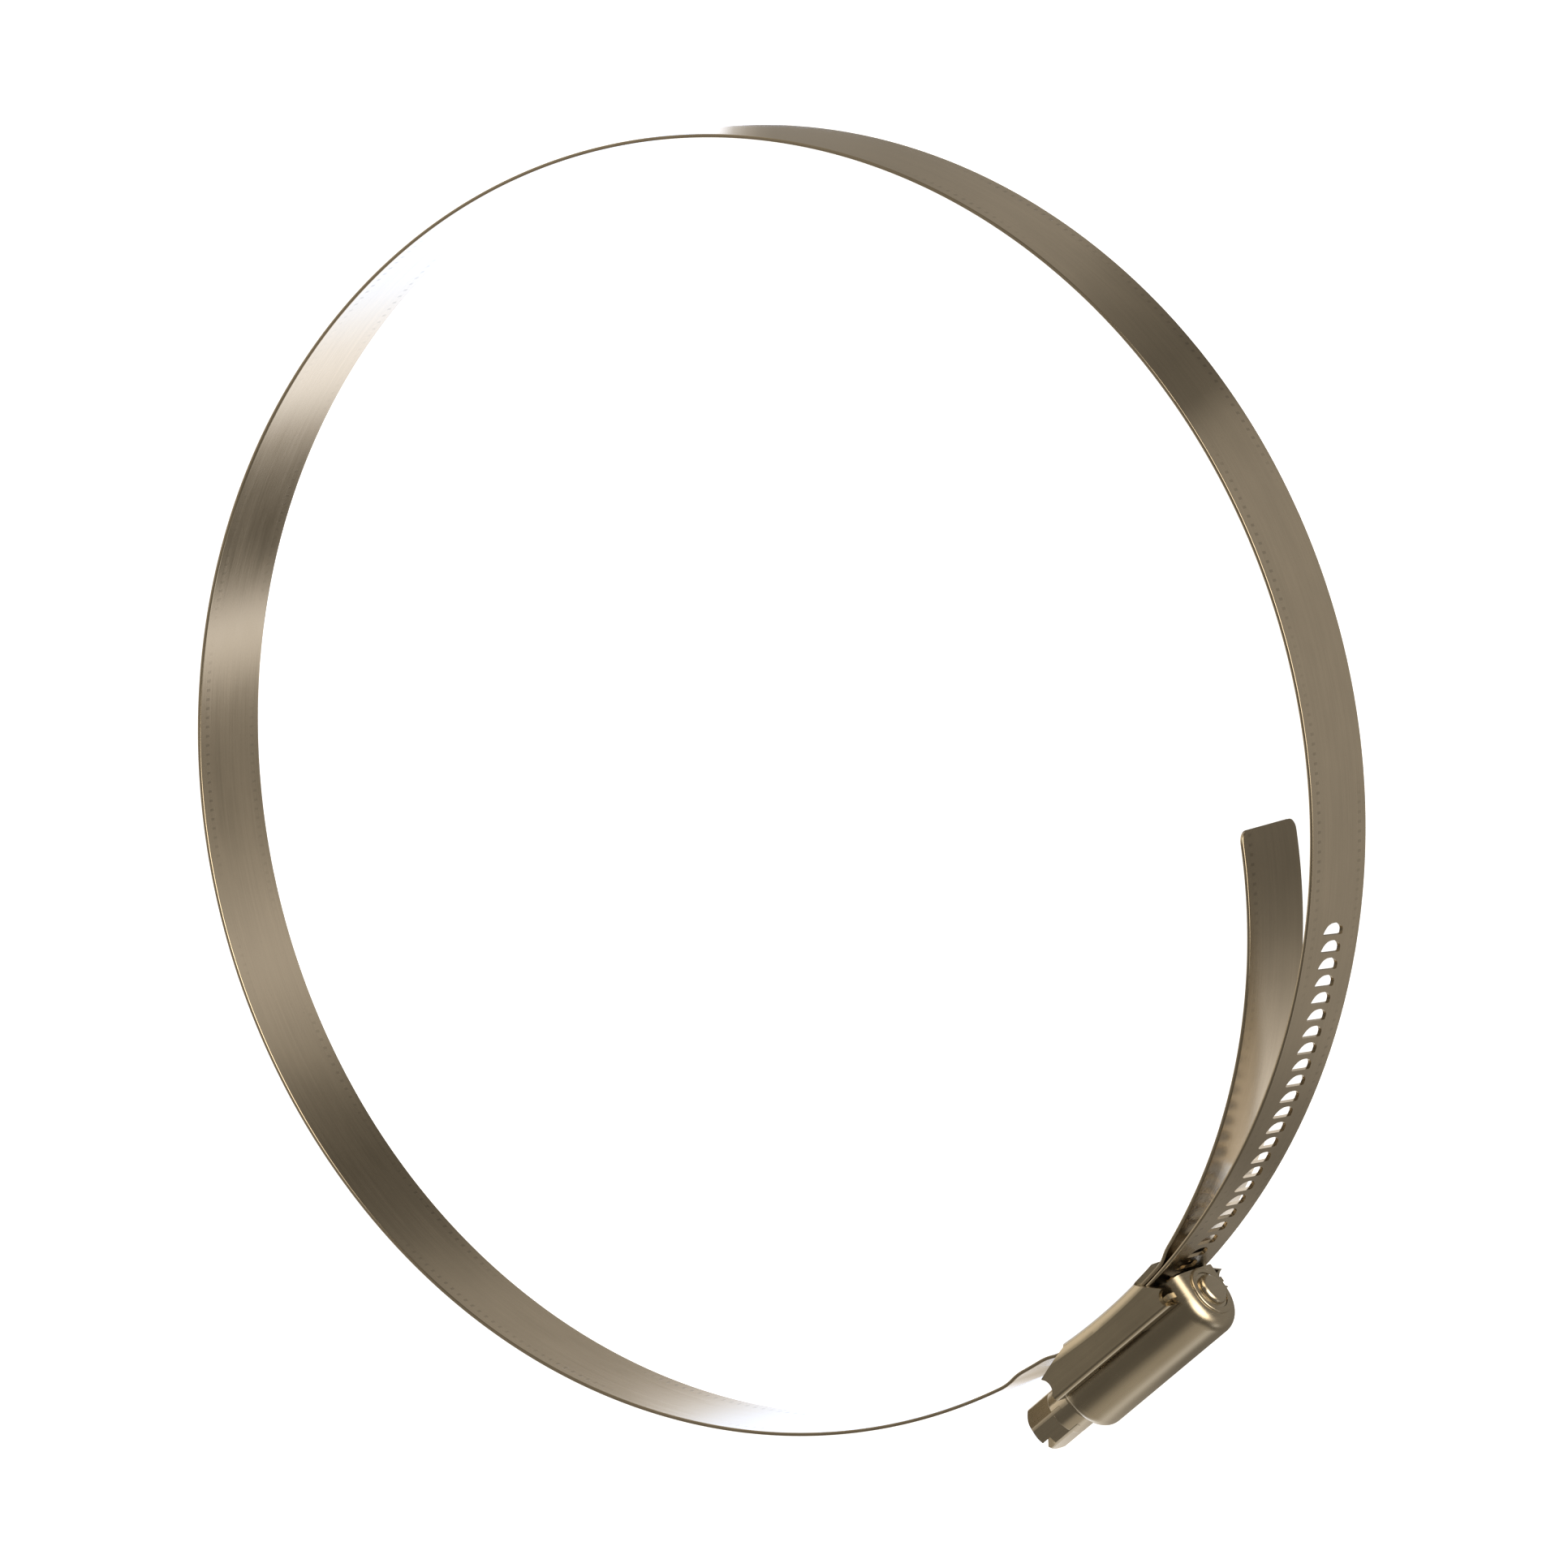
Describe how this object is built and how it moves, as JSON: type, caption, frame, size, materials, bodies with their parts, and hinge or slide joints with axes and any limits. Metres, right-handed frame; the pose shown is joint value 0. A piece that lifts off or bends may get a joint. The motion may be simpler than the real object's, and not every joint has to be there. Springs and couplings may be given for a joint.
{
  "type": "hose clamp",
  "caption": "Round worm-drive hose clamp: a slotted steel band with an inner liner tongue, a saddle and a humped screw housing with a slotted hexagon-head screw.",
  "frame": {"origin": "centre of the loop on the hose's axis, at half the width of the band", "axes": "+Z along the hose's axis; the screw housing is at -Y; the screw is parallel to X with its hexagon head towards -X"},
  "size_m": [0.1776, 0.1873, 0.0162],
  "materials": {
    "band_steel": "rolled stainless strip, fine lengthwise grain",
    "housing_steel": "pressed stainless sheet, satin",
    "saddle_steel": "pressed stainless sheet, satin",
    "screw_steel": "cold-headed stainless, smooth"
  },
  "bodies": {
    "housing": {"housing_shell": "housing_steel", "saddle": "saddle_steel", "captive_band": "band_steel"},
    "screw": {"worm_screw": "screw_steel"},
    "liner": {"liner_tongue": "band_steel"},
    "left_span": {"band_left": "band_steel"},
    "top_span": {"band_top": "band_steel"},
    "right_span": {"band_right": "band_steel"},
    "slotted_span": {"slotted_end": "band_steel"}
  },
  "joints": [
    {"name": "screw_spin", "type": "hinge", "parent": "housing", "child": "screw", "pos_m": [0, -0.093, 0], "axis": [1, 0, 0], "range_deg": [0, 2520]},
    {"name": "flex_left", "type": "hinge", "parent": "housing", "child": "left_span", "pos_m": [-0.0624, -0.0624, 0], "axis": [0, 0, -1], "range_deg": [0, 2.6]},
    {"name": "flex_top", "type": "hinge", "parent": "left_span", "child": "top_span", "pos_m": [-0.06247, 0.06247, 0], "axis": [0, 0, -1], "range_deg": [0, 2.87]},
    {"name": "flex_right", "type": "hinge", "parent": "top_span", "child": "right_span", "pos_m": [0.06279, 0.06279, 0], "axis": [0, 0, -1], "range_deg": [0, 2.84]},
    {"name": "flex_slotted", "type": "hinge", "parent": "right_span", "child": "slotted_span", "pos_m": [0.06286, -0.06286, 0], "axis": [0, 0, -1], "range_deg": [0, 2.6]},
    {"name": "liner_flex", "type": "hinge", "parent": "housing", "child": "liner", "pos_m": [0.01445, -0.0865, 0], "axis": [0, 0, -1], "range_deg": [-3, 7], "stiffness_Nm_per_rad": 0.3}
  ],
  "couplings": [
    {"joint": "flex_left", "follows": "screw_spin", "ratio": 0.0010246},
    {"joint": "flex_top", "follows": "screw_spin", "ratio": 0.0011302},
    {"joint": "flex_right", "follows": "screw_spin", "ratio": 0.0011173},
    {"joint": "flex_slotted", "follows": "screw_spin", "ratio": 0.0010246}
  ]
}
